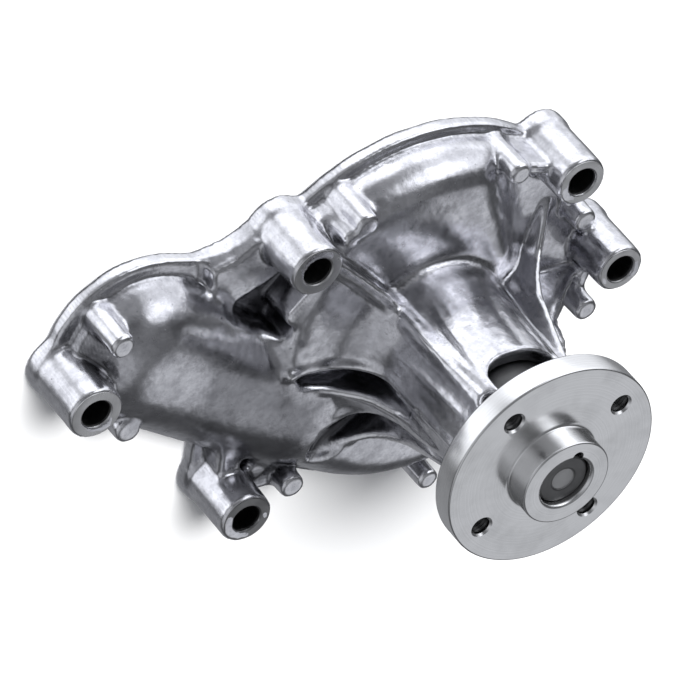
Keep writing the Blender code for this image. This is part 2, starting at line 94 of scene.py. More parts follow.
BOSSES = {          # centre x, centre y, outer radius at the front face
    "lobe": (131.9, -11.0, 9.7),
    "saddle": (54.5, -46.0, 9.5),
    "upper": (-46.1, -54.5, 9.2),
    "far": (-69.7, -11.0, 8.9),
    "lower": (69.0, 54.8, 9.6),
}
PADS = (            # centre x, centre y, height, radius
    (121.8, -32.1, 25, 4.4), (113.5, 9.2, 20, 4.8), (45.7, 55.9, 20, 4.6), (34.4, -55.9, 25, 4.2),
    (39.6, -51.0, 24.2, 3.0), (-23.6, -60.6, 25, 4.1), (-58.3, -28.2, 20, 4.3),
    (-64.0, 10.2, 22.5, 4.3), (-10.9, 71.6, 20, 4.0),
)
WEBS = (            # from, to, height, half thickness
    ((34.4, -55.9), (39.6, -51.0), 24.2, 2.3),
    ((39.6, -51.0), (54.5, -46.0), 13, 3.0),
    ((34.4, -55.9), (31.0, -46.0), 17, 3.6),
    ((121.8, -32.1), (131.9, -11.0), 11, 2.6),
    ((-23.6, -60.6), (-46.1, -54.5), 22, 2.2),
    ((-58.3, -28.2), (-69.7, -11.0), 14.5, 2.2),
    ((-58.3, -28.2), (-46.1, -54.5), 13, 2.4),
    ((-64.0, 10.2), (-69.7, -11.0), 15, 2.4),
    ((69.0, 54.8), (45.7, 55.9), 12.5, 4.2),
    ((69.0, 54.8), (57.0, 48.0), 15, 4.0),
    ((69.0, 54.8), (70.0, 26.0), 16, 4.2),
    ((131.9, -11.0), (118.0, -12.0), 17, 4.0),
)
RIDGES = {          # half thickness, crest from its outer end up to the snout's end
    "saddle": (2.1, ((46, -43, 24.6), (32.4, -31.3, 27), (21.5, -20.8, 29.8), (19.8, -19.1, 35),
                     (18.8, -18.1, 66))),
    "upper_lip": (1.1, ((56.5, 0.5, 25.6), (48, 0.5, 24), (39, 0.5, 26.8), (31, 0.5, 31.8),
                        (26, 0.5, 40), (25.2, 0.5, 52), (24.4, 0.5, 74))),
    "lower_lip": (1.1, ((56, 1, 25), (50, 9, 21), (41, 11, 26.5), (31.5, 11, 34.4), (28.5, 11, 40),
                        (25, 11, 51), (23, 10.5, 68))),
    "duct_lip": (1.2, ((40.6, 47.6, 14), (42.1, 40.8, 17.5), (42.7, 34.8, 21.5), (39, 28, 23.3),
                       (31.8, 21.8, 27.5), (26.5, 17.4, 35), (24.5, 15, 44), (22.5, 13.5, 60))),
    "lower_rib": (1.2, ((39.6, 49.1, 12.5), (33.1, 40.8, 20.5), (28.6, 37.6, 24.5), (23, 33.7, 29.5),
                        (19, 30.8, 36.5), (16.5, 28.3, 45), (15.5, 24, 60), (14, 22, 72))),
    "west_rib": (1.3, ((-47.3, -32, 12), (-44.5, -23.3, 16), (-40.7, -16.4, 21.5), (-34.6, -13, 33),
                       (-31.7, -11.9, 43.5), (-28.9, -10.7, 54), (-26, -9.8, 64), (-23.5, -9, 74))),
    "far_rib": (1.3, ((-63, 0, 14), (-44, 0, 32), (-38, 0, 46), (-29.4, 0, 60), (-25.5, 0, 71))),
    "east_rib": (1.3, ((-31, 52, 15), (-24, 40, 25), (-19, 31, 40), (-15, 24.5, 58), (-13, 21.5, 70))),
}
SPINES = (          # azimuth at the foot and at the end, heights, size
    (-47, -55, 30, 74, 0.9), (-66, -58, 30, 70, 0.8), (-72, -66, 34, 62, 0.6), (-137, -137, 36, 74, 0.9),
    (-128, -129, 34, 66, 0.7), (-20, -26, 34, 76, 0.8),
)
LAND = ((82.5, -40.3), (73.5, -43), (66, -48), (52, -37), (57, -31.8), (76, -22.8), (80, -24))
SADDLE_RECESS = ((79, -42.5), (72, -46), (60, -52), (49, -36), (52, -12), (59, -12.8), (66, -17.3),
                 (74, -22.5), (76, -26))
FIRST_POCKET = ((56, 1), (54.5, 3.2), (50, 7.6), (41, 9.8), (22, 9.8), (22, 1.4), (48, 1.4))
SECOND_POCKET = ((24, 15.5), (32.5, 23), (39.5, 29.5), (43, 36), (42.5, 42), (40.5, 46.5), (32.2, 41.6),
                 (27.6, 38.6), (22, 34.8), (16, 30), (12, 23))
WEST_FACET = ((-24, -68), (-28, -52), (-32, -42), (-35, -30), (-41, -14), (-42.5, 4), (-43, 24), (-60, 46),
              (-90, 30), (-90, -60), (-50, -85))
WEST_SLOPE = 0.95        # how far the wall above the facet leans back for each millimetre of height
# The outline of a darker patch over the duct's top.
DUCT_DARK_PATCH = ((94, -24), (66, -18), (54, -8), (46, 4), (34, 12), (34, 30), (40, 42), (40, 52), (66, 52),
              (90, 34), (99, 10))
LOBE_VALLEY = ((136, -20), (130, -37), (117, -31), (119, -14))
LOWER_VALLEY = ((64, 47), (66, 62), (38, 64), (38, 53), (48, 45))
DARK_PATCH_EDGE = 16.0        # the width over which the duct's dark patch fades out
SHELTER_EDGE = 3.0
SHELTERED = (            # outlines in which the skin's painted shade is made deeper or lighter than its shelter gives
    (FIRST_POCKET, -0.06), (SECOND_POCKET, 0.34), (SADDLE_RECESS, 0.14),
    (LOBE_VALLEY, 0.22), (LOWER_VALLEY, 0.24),
)
PITS = (                 # three casting flaws beside the second pocket: centre and radius
    (10.0, 52.3, 19.2, 2.1), (12.3, 51.0, 19.6, 1.5), (8.4, 53.6, 18.8, 1.3),
)
LEDGE = 5.5              # the floor of the saddle's recess
FACET_LEVEL = 10.5       # the floor of the west valley, and the land beside the saddle boss
POCKET_FLOOR = 17.9
AXIS = ((0.0, 0.0),)     # the shaft axis in plan


def smooth_min(a, b, blend):
    """The smaller distance, with a fillet about as wide as the blend where the two meet."""
    if blend <= 0:
        return np.minimum(a, b)
    near = np.maximum(blend - np.abs(a - b), 0) / blend
    return np.minimum(a, b) - near * near * blend * 0.25


def smooth_max(a, b, blend):
    return -smooth_min(-a, -b, blend)


class Field:
    """A solid as signed distances on a grid, inside negative."""

    def __init__(self, low, high, voxel):
        self.voxel = voxel
        self.low = np.array(low, float)
        counts = np.ceil((np.array(high) - self.low) / voxel).astype(int) + 1
        self.axes = [
            (self.low[i] + voxel * np.arange(counts[i])).astype(np.float32) for i in range(3)]
        self.values = np.full(counts, FAR, np.float32)

    def window(self, low, high, margin):
        """The grid's part around a box, and its coordinates shaped to spread over it."""
        parts = []
        for axis, a, b in zip(self.axes, low, high):
            first = int(np.searchsorted(axis, a - margin))
            last = int(np.searchsorted(axis, b + margin))
            parts.append(slice(first, max(last, first + 1)))
        x = self.axes[0][parts[0]][:, None, None]
        y = self.axes[1][parts[1]][None, :, None]
        z = self.axes[2][parts[2]][None, None, :]
        return tuple(parts), (x, y, z)

    def everywhere(self):
        low = [axis[0] for axis in self.axes]
        high = [axis[-1] for axis in self.axes]
        return low, high

    def add(self, shape, low=None, high=None, blend=2.0):
        self._change(shape, low, high, blend, smooth_min, 1)

    def cut(self, shape, low=None, high=None, blend=0.0):
        self._change(shape, low, high, blend, smooth_max, -1)

    def _change(self, shape, low, high, blend, join, sign):
        if low is None:
            low, high = self.everywhere()
        part, (x, y, z) = self.window(low, high, blend + 3 * self.voxel)
        new = sign * shape(x, y, z)
        self.values[part] = join(self.values[part], new, blend)

    def wave(self):
        x, y, z = (self.axes[0][:, None, None], self.axes[1][None, :, None],
                   self.axes[2][None, None, :])
        self.values += cast_wave(x, y, z)

    def soften(self):
        """One light smoothing pass, so that sharp creases don't turn into steps."""
        for axis in range(3):
            moved = np.moveaxis(self.values, axis, 0)
            moved[1:-1] = 0.25 * moved[:-2] + 0.5 * moved[1:-1] + 0.25 * moved[2:]

    def shelter(self, reach):
        """The solid share of a soft ball: a half on a flat, more in hollows, less on crests."""
        share = np.clip(0.5 - self.values / (2 * self.voxel), 0, 1)
        half = max(1, int(round(reach / self.voxel)))
        for axis in range(3):
            for _ in range(2):
                padding = [(0, 0)] * 3
                padding[axis] = (half + 1, half)
                total = np.cumsum(np.pad(share, padding, mode="edge"), axis=axis, dtype=np.float32)
                total = np.moveaxis(total, axis, 0)
                share = np.moveaxis((total[2 * half + 1:] - total[:-2 * half - 1]) / (2 * half + 1), 0, axis)
        return share

    def mesh(self, name, shelter):
        """The zero surface as quads, in metres, with each vertex's shelter values."""
        grid = openvdb.FloatGrid(FAR)
        grid.copyFromArray(self.values)
        points, quads = grid.convertToQuads(0.0)
        nearest = tuple(np.clip(np.rint(points).astype(int), 0, np.array(self.values.shape) - 1).T)
        points = (points * self.voxel + self.low) * MM
        mesh = bpy.data.meshes.new(name)
        mesh.from_pydata(points.tolist(), [], quads.tolist())
        for key, share in shelter.items():
            mesh.attributes.new(key, "FLOAT", "POINT").data.foreach_set("value", share[nearest])
        return mesh


def polygon_distance(px, py, points):
    """Signed distance from (px, py) to a closed outline."""
    points = np.array(points, np.float32)
    best = None
    inside = np.zeros(np.broadcast(px, py).shape, bool)
    for (ax, ay), (bx, by) in zip(points, np.roll(points, -1, axis=0)):
        ex, ey = bx - ax, by - ay
        wx, wy = px - ax, py - ay
        along = np.clip((wx * ex + wy * ey) / (ex * ex + ey * ey + 1e-9), 0, 1)
        near = (wx - ex * along) ** 2 + (wy - ey * along) ** 2
        best = near if best is None else np.minimum(best, near)
        crosses = (ay > py) != (by > py)
        with np.errstate(divide="ignore", invalid="ignore"):
            left = px < (bx - ax) * (py - ay) / (by - ay) + ax
        inside ^= crosses & left
    distance = np.sqrt(best)
    return np.where(inside, -distance, distance)


def segment_distance(x, y, a, b):
    """Distance in plan from a straight line between two points."""
    ex, ey = b[0] - a[0], b[1] - a[1]
    along = np.clip(((x - a[0]) * ex + (y - a[1]) * ey) / (ex * ex + ey * ey), 0, 1)
    return np.hypot(x - a[0] - ex * along, y - a[1] - ey * along)


def slab(plan, z, low, high, edge):
    """A plan outline's distance given a height range, with its edges rounded."""
    return smooth_max(plan, np.maximum(z - high, low - z), edge)


def azimuth_of(x, y):
    return np.degrees(np.arctan2(y, x))


def around(radius, degrees):
    """A point on a circle round the axis."""
    angle = math.radians(degrees)
    return radius * math.cos(angle), radius * math.sin(angle)


def outward_of(x, y, azimuth):
    """Distance from the axis, measured along an azimuth."""
    ex, ey = around(1, azimuth)
    return x * ex + y * ey


def side_of(x, y, azimuth):
    """Distance from the half plane through the axis at an azimuth, positive clockwise of it."""
    ex, ey = around(1, azimuth)
    return x * ey - y * ex


def volute_shape(x, y, z):
    """The round pump chamber's outside: its shoulder swells from the saddle round to the duct."""
    growth = np.clip(np.mod(-45 - azimuth_of(x, y), 360) / 250, 0, 1)
    swell = growth * growth * (3 - 2 * growth)
    edge = 10.0 + 5.0 * swell
    top = 20.0 + 1.5 * swell
    radius = np.hypot(x, y)
    crown = 1.6 - 2.4 * ((np.clip(radius, 24, 66) - 48) / 21) ** 2
    across = radius - (SHOULDER_RADIUS - edge)
    up = (z - (top + crown - edge)) * 0.97
    return np.minimum(np.maximum(across, up), 0) + np.hypot(
        np.maximum(across, 0), np.maximum(up, 0)) - edge


def snout_shape(x, y, z):
    radius = np.hypot(x, y)
    flare = 1.8 * (np.clip(58 - z, 0, 40) / 38) ** 2
    wall = (radius - (SNOUT_RADIUS + (SNOUT_END - z) * SNOUT_DRAFT) - flare) * 0.98
    return smooth_max(wall, z - SNOUT_END, 1.2)


def duct_distance(x, y, z, radius, height):
    """A rounded tunnel with an elliptical section, from the lobe into the chamber."""
    across = segment_distance(x, y, LOBE, DUCT_END) / radius
    up = np.maximum(z, 0) / height
    power = 2.35
    return ((across ** power + up ** power) ** (1 / power) - 1) * (radius + height) / 2


def flange_plan(x, y):
    """The gasket flange's outline: every arc runs into the next one."""
    outline = np.hypot(x, y) - FLANGE_RADIUS
    lobe = np.hypot(x - LOBE[0], y - LOBE[1]) - LOBE_RIM
    normal = (0.537, 0.843)
    lower_side = (x - LOBE[0]) * normal[0] + (y - LOBE[1]) * normal[1] - DUCT_RADIUS - 0.5
    lobe = smooth_max(lobe, lower_side, 5)
    outline = smooth_min(outline, lobe, 2)
    outline = smooth_min(outline, segment_distance(x, y, LOBE, DUCT_END) - DUCT_RADIUS - 0.5, 2)
    saddle = ((100, -41), (82, -42.3), (74, -43.2), (64, -47), (50, -30), (80, -5), (100, -20))
    outline = smooth_min(outline, polygon_distance(x, y, saddle), 5)
    outline = smooth_min(outline, segment_distance(x, y, (69, 54.8), (69, 30)) - 9.6, 2)
    for bx, by, radius in BOSSES.values():
        outline = smooth_min(outline, np.hypot(x - bx, y - by) - radius - 0.7, 3)
    for bx, by, _, radius in PADS:
        outline = smooth_min(outline, np.hypot(x - bx, y - by) - radius - 0.2, 2.5)
    return outline


def fill_height(radius, low, rise, start, fade):
    """A cheek's height: it climbs as it nears the snout."""
    return low + rise * np.exp(-(radius - start) / fade)


def saddle_cheek(x, y, z):
    """The smooth cheek between the saddle rib and the first pocket."""
    radius = np.hypot(x, y)
    sector = smooth_max(side_of(x, y, -44), y - 1, 1)
    outer = radius - 58.5 + np.clip(y + 14, 0, 14) * 0.18
    top = (z - fill_height(radius, 23.0, 13.5, 26, 6.5)) * 0.8
    return smooth_max(smooth_max(sector, outer, 5), top, 2.5)


def duct_cheek(x, y, z):
    """The cheek that climbs from the duct to the second pocket's lip."""
    radius = np.hypot(x, y)
    far_edge = np.radians(azimuth_of(x, y) - 33 - (radius - 32) * 0.25) * radius
    top = (z - fill_height(radius, 20.0, 15.0, 32, 7.5)) * 0.75
    shape = smooth_max(np.maximum(10.5 - y, far_edge), radius - 60, 4)
    return smooth_max(shape, top, 1.2)


def pit(outline, floor, edge):
    """A hollow with upright walls cut down to a floor."""
    return lambda x, y, z: slab(polygon_distance(x, y, outline), z, floor, 90, edge)


def west_hollow(x, y, z):
    """The valley beside the west rib: a flat floor whose inner wall leans back to the chamber."""
    wall = polygon_distance(x, y, WEST_FACET) - np.maximum(z - FACET_LEVEL, 0) * WEST_SLOPE
    return smooth_max(wall * 0.75, FACET_LEVEL - z, 4)


def flowing(points, steps=4):
    """A smooth curve through points, as a finer line."""
    line = [np.array(p, float) for p in points]
    line = [2 * line[0] - line[1]] + line + [2 * line[-1] - line[-2]]
    curve = []
    for p0, p1, p2, p3 in zip(line, line[1:], line[2:], line[3:]):
        for step in range(steps):
            t = step / steps
            curve.append(0.5 * (2 * p1 + (p2 - p0) * t + (2 * p0 - 5 * p1 + 4 * p2 - p3) * t * t
                                + (3 * p1 - p0 - 3 * p2 + p3) * t ** 3))
    return curve + [line[-2]]


def ridge(points, half, edge):
    """An upright rib under a crest line. Its crest is rounded and its foot is thicker."""
    points = flowing(points)

    def shape(x, y, z):
        best = None
        for (ax, ay, az), (bx, by, bz) in zip(points, points[1:]):
            ex, ey = bx - ax, by - ay
            length = math.hypot(ex, ey)
            along = np.clip(((x - ax) * ex + (y - ay) * ey) / (length * length), 0, 1)
            flank = np.hypot(x - ax - ex * along, y - ay - ey * along) - half
            over = z - az - (bz - az) * along
            flank = flank - 0.05 * np.clip(-over, 0, 20)
            part = smooth_max(flank, over / math.hypot(1, (bz - az) / length), edge)
            best = part if best is None else np.minimum(best, part)
        return best
    return shape


def snout_spine(foot, end, low, high, size):
    """A thin ridge along the snout that swells out of it and fades at both ends."""
    def shape(x, y, z):
        along = np.clip((z - low) / (high - low), 0, 1)
        angle = np.radians(foot + (end - foot) * along)
        radius = SNOUT_RADIUS + (SNOUT_END - z) * SNOUT_DRAFT - 0.15
        fade = size * (1 - (2 * along - 1) ** 4)
        return np.maximum(np.hypot(x - radius * np.cos(angle), y - radius * np.sin(angle)) - fade,
                          np.maximum(low - z, z - high))
    return shape


def post(bx, by, radius, height, draft, edge):
    """An upright round post that widens towards its foot."""
    return lambda x, y, z: slab(
        np.hypot(x - bx, y - by) - radius - (height - z) * draft, z, 0, height, edge)


def beam(start, end, half, low, high, edge):
    """An upright wall along a straight line."""
    return lambda x, y, z: slab(segment_distance(x, y, start, end) - half, z, low, high, edge)


def box_of(points, margin, low, high):
    """The corners of a box around points in plan, between two heights."""
    xs = [p[0] for p in points]
    ys = [p[1] for p in points]
    return (min(xs) - margin, min(ys) - margin, low), (max(xs) + margin, max(ys) + margin, high)


def cast_wave(x, y, z):
    """The slight unevenness of a cast skin."""
    broad = np.sin(0.33 * x + 1.7 * np.sin(0.19 * y + 0.8)) + np.sin(0.29 * y + 1.4 * np.sin(0.23 * z))
    fine = np.sin(1.1 * x + 2.0 * np.sin(0.7 * z)) * np.sin(0.9 * y + 1.9 * np.sin(0.8 * x))
    return 0.06 * broad + 0.035 * fine


def build_casting():
    """Adds, then cuts, every shape of the housing. Returns its mesh."""
    field = Field((-84, -78, -3), (146, 80, 85), VOXEL)
    field.add(volute_shape, blend=0)
    field.cut(west_hollow, *box_of(WEST_FACET, 12, 5, 40), blend=5)
    field.add(lambda x, y, z: np.maximum(duct_distance(x, y, z, DUCT_RADIUS, DUCT_HEIGHT), -z),
              blend=4)
    field.cut(pit(SADDLE_RECESS, LEDGE, 2.5), *box_of(SADDLE_RECESS, 0, 2, 40), blend=3)
    field.add(snout_shape, *box_of(AXIS, 32, 10, 84), blend=5)
    for outline in (FIRST_POCKET, SECOND_POCKET):
        field.cut(pit(outline, POCKET_FLOOR, 3), *box_of(outline, 0, POCKET_FLOOR - 2, 45), blend=2)
    field.add(saddle_cheek, (15, -50, 5), (65, 8, 45), blend=2.5)
    field.add(duct_cheek, (15, 0, 5), (65, 60, 45), blend=2.5)
    finger = ((47, -31), (55.5, -21.5))
    field.add(beam(*finger, 3.2, 3, 22.5, 2.5), (40, -36, 3), (62, -15, 24), blend=1.5)
    for half, crest in RIDGES.values():
        field.add(ridge(crest, half + 0.2, 1.7), *box_of(crest, half + 2, 8, 80), blend=2.2)
    for foot, end, low, high, size in SPINES:
        spine = snout_spine(foot, end, low, high, size)
        field.add(spine, *box_of(AXIS, 28, low - 2, high + 2), blend=1.5)

    field.add(lambda x, y, z: slab(flange_plan(x, y), z, 0, FLANGE_THICKNESS, 0.9),
              (-84, -78, -1), (146, 80, 7), blend=1.2)
    field.add(lambda x, y, z: slab(polygon_distance(x, y, LAND), z, 0, FACET_LEVEL, 1.0),
              *box_of(LAND, 0, 0, 12), blend=4.5)
    for start, end, height, half in WEBS:
        web = beam(start, end, half, 0, height, 1.6)
        field.add(web, *box_of((start, end), half, 0, height), blend=2.5)
    for bx, by, height, radius in PADS:
        pad = post(bx, by, radius, height, 0.015, 0.6)
        field.add(pad, *box_of([(bx, by)], 6, 0, height), blend=1.6)
    for bx, by, radius in BOSSES.values():
        boss = post(bx, by, radius, BOSS_HEIGHT, 0.018, 0.7)
        field.add(boss, *box_of([(bx, by)], 11, 0, BOSS_HEIGHT), blend=2.2)

    for x, y, z, radius in PITS:
        field.cut(lambda u, v, w: np.sqrt((u - x) ** 2 + (v - y) ** 2 + (w - z) ** 2) - radius,
                  *box_of([(x, y)], 4, z - 4, z + 4), blend=0.8)
    field.soften()
    field.wave()
    # The shelter values drive painted shade in creases and hollows and a painted highlight on crests.
    shelter = {"crease": field.shelter(2.2), "hollow": field.shelter(7.0),
               "dark_patch": np.zeros_like(field.values)}
    # Painted shade: deeper in these pockets and valleys, lighter in the first pocket.
    for outline, share in SHELTERED:
        part, (x, y, z) = field.window(*box_of(outline, 0, 3, 36), 0)
        inside = np.clip(-polygon_distance(x, y, outline) / SHELTER_EDGE, 0, 1)
        shelter["hollow"][part] += share * inside * np.clip((34 - z) / 9, 0, 1)
    # A darker patch over the duct's top.
    part, (x, y, z) = field.window(*box_of(DUCT_DARK_PATCH, 0, 3, 30), 0)
    shelter["dark_patch"][part] = np.clip(-polygon_distance(x, y, DUCT_DARK_PATCH) / DARK_PATCH_EDGE, 0, 1)
    cut_hollows(field)
    field.values = np.maximum(field.values, -field.axes[2][None, None, :])
    return field.mesh("housing_casting", shelter)


def cut_hollows(field):
    """Chamber, duct, bores, bolt holes and the openings of the snout."""
    tongue = ((54, -8), (50, -24), (54, -36), (90, -34), (72, -4))

    def chamber(x, y, z):
        radius = np.hypot(x, y)
        edge = 9.0
        across = radius - (CHAMBER_RADIUS - edge)
        up = z - (CHAMBER_ROOF - edge)
        round_room = np.minimum(np.maximum(across, up), 0) + np.hypot(
            np.maximum(across, 0), np.maximum(up, 0)) - edge
        lean = np.maximum(polygon_distance(x, y, WEST_FACET) - 1, 0) / WEST_SLOPE
        round_room = np.maximum(round_room, (z - 7.5 - lean) * 0.7)
        return smooth_max(round_room, -polygon_distance(x, y, tongue), 2)

    def duct(x, y, z):
        room = duct_distance(x, y, z, DUCT_RADIUS - WALL, DUCT_HEIGHT - WALL)
        floors = (FIRST_POCKET, POCKET_FLOOR), (SECOND_POCKET, POCKET_FLOOR), (SADDLE_RECESS, LEDGE)
        for outline, floor in floors:
            room = np.maximum(room, np.minimum(WALL_LEFT - polygon_distance(x, y, outline),
                                               z - floor + WALL_LEFT))
        return room

    field.cut(chamber, (-66, -66, -3), (66, 66, 20))
    field.cut(duct, (10, -45, -3), (135, 60, 25), blend=1.5)

    def bore(radius, low, high):
        field.cut(lambda x, y, z: np.maximum(np.hypot(x, y) - radius, np.maximum(low - z, z - high)),
                  *box_of(AXIS, radius, low, high))
    bore(BEARING_BORE, BEARING_REAR, 90)
    bore(DRAIN_BORE, SEAL_BORE_TOP - 1, BEARING_REAR + 1)
    bore(SEAL_BORE, CHAMBER_ROOF - 2, SEAL_BORE_TOP)
    for bx, by, _ in BOSSES.values():
        field.cut(lambda x, y, z: np.hypot(x - bx, y - by) - BOSS_HOLE,
                  *box_of([(bx, by)], 6, -3, 32))

    def radial_hole(radius, azimuth, height):
        def shape(x, y, z):
            round_part = np.hypot(side_of(x, y, azimuth), z - height) - radius
            return np.maximum(round_part, 8 - outward_of(x, y, azimuth))
        return shape
    field.cut(radial_hole(3, 97, 30), *box_of(AXIS, 35, 25, 36), blend=0.8)
    field.cut(radial_hole(3.2, -50, 79.5), *box_of(AXIS, 35, 72, 88), blend=0.8)

    def window(x, y, z):
        aside = np.abs(side_of(x, y, WINDOW_AZIMUTH)) - WINDOW_HALF_WIDTH
        return np.maximum(smooth_max(aside, WINDOW_SILL - z, 8), 8 - outward_of(x, y, WINDOW_AZIMUTH))
    field.cut(window, *box_of(AXIS, 35, 60, 88), blend=1.0)


# ---------------------------------------------------------------- inside, millimetres
BEARING_FRONT = 84.0
BALL_ROWS = {"front": 72, "rear": 46}
BALL_CIRCLE = 12.4
BALL_RADIUS = 3.3
BALL_COUNT = 8
RACEWAY_RADIUS = 3.55
SPRING_LOW = 21.6
SPRING_TOP = 25.2
IMPELLER_RADIUS = 36.0
VANES = 6
PULLEY_CIRCLE = 30.0     # the radius on which the hub's four tapped holes lie
TAP_CORE = 3.3
TAP_DEPTH = 0.55
TAP_PITCH = 1.25


# ---------------------------------------------------------------- materials
class Nodes:
    """A short way to write node trees: each call adds one node and links its inputs."""

    def __init__(self, name):
        self.material = bpy.data.materials.new(name)
        self.material.use_nodes = True
        self.tree = self.material.node_tree
        self.shader = self.tree.nodes["Principled BSDF"]
        self.place = self.tree.nodes.new("ShaderNodeTexCoord").outputs["Object"]

    def add(self, kind, settings=None, **inputs):
        node = self.tree.nodes.new(kind)
        for key, value in (settings or {}).items():
            setattr(node, key, value)
        for key, value in inputs.items():
            socket = node.inputs[key.replace("_", " ")]
            if isinstance(value, bpy.types.NodeSocket):
                self.tree.links.new(value, socket)
            else:
                socket.default_value = value
        return node

    def noise(self, scale, detail=3.0, roughness=0.55, vector=None):
        node = self.add("ShaderNodeTexNoise", Vector=vector or self.place, Scale=scale,
                        Detail=detail, Roughness=roughness)
        return node.outputs["Fac"]

    def ramp(self, value, low, high, start=0.35, end=0.65):
        """Maps a value range onto an output range."""
        node = self.add("ShaderNodeMapRange", {"clamp": True}, Value=value)
        node.inputs["From Min"].default_value = start
        node.inputs["From Max"].default_value = end
        node.inputs["To Min"].default_value = low
        node.inputs["To Max"].default_value = high
        return node.outputs["Result"]

    def attribute(self, name):
        return self.add("ShaderNodeAttribute", {"attribute_name": name}).outputs["Fac"]

    def sum(self, first, second):
        node = self.add("ShaderNodeMath", {"operation": "ADD"})
        self.tree.links.new(first, node.inputs[0])
        self.tree.links.new(second, node.inputs[1])
        return node.outputs[0]

    def mix(self, factor, first, second):
        node = self.add("ShaderNodeMix", {"data_type": "RGBA"})
        for index, value in ((0, factor), (6, first), (7, second)):
            if isinstance(value, bpy.types.NodeSocket):
                self.tree.links.new(value, node.inputs[index])
            else:
                node.inputs[index].default_value = value
        return node.outputs[2]

    def bump(self, height, strength, distance, below=None):
        node = self.add("ShaderNodeBump", Height=height, Strength=strength, Distance=distance)
        if below is not None:
            self.tree.links.new(below, node.inputs["Normal"])
        return node.outputs["Normal"]

    def set(self, **inputs):
        for key, value in inputs.items():
            socket = self.shader.inputs[key.replace("_", " ")]
            if isinstance(value, bpy.types.NodeSocket):
                self.tree.links.new(value, socket)
            else:
                socket.default_value = value
        return self.material


def grey(level, blue=0.0):
    return (level, level, level * (1 + blue), 1.0)


def cast_aluminium():
    """Die-cast skin: bright, mottled and finely grained, with a painted highlight on crests and painted shade
    in creases and hollows.
    """
    nodes = Nodes("cast_aluminium_skin")
    crease = nodes.attribute("crease")
    hollow = nodes.attribute("hollow")
    dark_patch = nodes.sum(nodes.attribute("dark_patch"), nodes.noise(150, 5, 0.7))
    cloud = nodes.noise(90, 4, 0.6)
    patch = nodes.noise(320, 5, 0.65)
    grain = nodes.noise(2600, 3, 0.6)
    speck = nodes.noise(900, 2, 0.5)
    tone = nodes.mix(nodes.ramp(cloud, 0, 1, 0.35, 0.68), grey(0.55, 0.05), grey(0.84, 0.04))
    tone = nodes.mix(nodes.ramp(patch, 0, 0.6, 0.42, 0.72), tone, grey(0.40, 0.06))
    tone = nodes.mix(nodes.ramp(speck, 0, 0.6, 0.68, 0.78), tone, grey(0.16, 0.05))
    # Darker over the duct's top, with mottling from noise elsewhere.
    tone = nodes.mix(nodes.ramp(dark_patch, 0, 0.6, 0.78, 1.25), tone, grey(0.15, 0.08))
    # Painted shade: hollows are darkened, more so in the listed pockets and valleys.
    tone = nodes.mix(nodes.ramp(hollow, 0, 0.85, 0.64, 0.84), tone, grey(0.05, 0.12))
    # Painted highlight: crests are lightened.
    tone = nodes.mix(nodes.ramp(crease, 0.8, 0, 0.26, 0.44), tone, grey(0.88, 0.02))
    # Painted shade: creases are darkened.
    tone = nodes.mix(nodes.ramp(crease, 0, 0.8, 0.58, 0.80), tone, grey(0.10, 0.12))
    rough = nodes.ramp(patch, 0.14, 0.28, 0.30, 0.70)
    normal = nodes.bump(grain, 0.25, 0.00004)
    normal = nodes.bump(patch, 0.35, 0.00012, normal)
    normal = nodes.bump(cloud, 0.30, 0.00040, normal)
    return nodes.set(Base_Color=tone, Metallic=1.0, Roughness=rough, Normal=normal)


def turned_steel(name="turned_steel_face", level=0.69, lines=2200.0, rough=(0.19, 0.26), centre=None):
    """Lathe-turned metal: fine rings that follow the radius on faces and the height on walls."""
    nodes = Nodes(name)
    split = nodes.add("ShaderNodeSeparateXYZ", Vector=nodes.place)
    flat = nodes.add("ShaderNodeCombineXYZ", X=split.outputs["X"], Y=split.outputs["Y"])
    radius = nodes.add("ShaderNodeVectorMath", {"operation": "LENGTH"})
    nodes.tree.links.new(flat.outputs[0], radius.inputs[0])
    rings = nodes.add("ShaderNodeTexNoise", {"noise_dimensions": "1D"}, Scale=lines, Detail=1.0,
                      W=nodes.sum(radius.outputs["Value"], split.outputs["Z"]))
    smudge = nodes.noise(110, 3)
    rings = nodes.ramp(rings.outputs["Fac"], 0, 1, 0.3, 0.7)
    tone = nodes.mix(rings, grey(level * 0.97), grey(level * 1.03))
    tone = nodes.mix(nodes.ramp(smudge, 0, 0.22, 0.45, 0.75), tone, grey(level * 0.7))
    if centre:
        disc = nodes.ramp(radius.outputs["Value"], 1, 0, centre[0] - 0.0002, centre[0] + 0.0003)
        tone = nodes.mix(disc, tone, grey(centre[1]))
    roughness = nodes.ramp(smudge, rough[0], rough[1], 0.35, 0.7)
    normal = nodes.bump(smudge, 0.05, 0.00002)
    tangent = nodes.add("ShaderNodeTangent", {"direction_type": "RADIAL", "axis": "Z"})
    return nodes.set(Base_Color=tone, Metallic=1.0, Roughness=roughness, Normal=normal,
                     Anisotropic=0.35, Tangent=tangent.outputs[0])


def plain_grain(name, low, high, scale, rough, metallic=0.0, bump=0.00003):
    """A two-tone grained surface for rubber, nylon, carbon, ceramic, iron and sheet."""
    nodes = Nodes(name)
    grain = nodes.noise(scale, 4, 0.6)
    broad = nodes.noise(scale / 8, 3, 0.6)
    tone = nodes.mix(nodes.ramp(broad, 0, 1), low, high)
    roughness = nodes.ramp(grain, rough[0], rough[1])
    return nodes.set(Base_Color=tone, Metallic=metallic, Roughness=roughness,
                     Normal=nodes.bump(grain, 0.4, bump))


# ---------------------------------------------------------------- mesh helpers
def show(name, mesh, material, body):
    obj = bpy.data.objects.new(name, mesh)
    bpy.context.scene.collection.objects.link(obj)
    mesh.materials.clear()
    mesh.materials.append(material)
    mesh.shade_smooth()
    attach(obj, body)
    return obj


def end_mesh(builder, name):
    mesh = bpy.data.meshes.new(name)
    builder.to_mesh(mesh)
    builder.free()
    return mesh


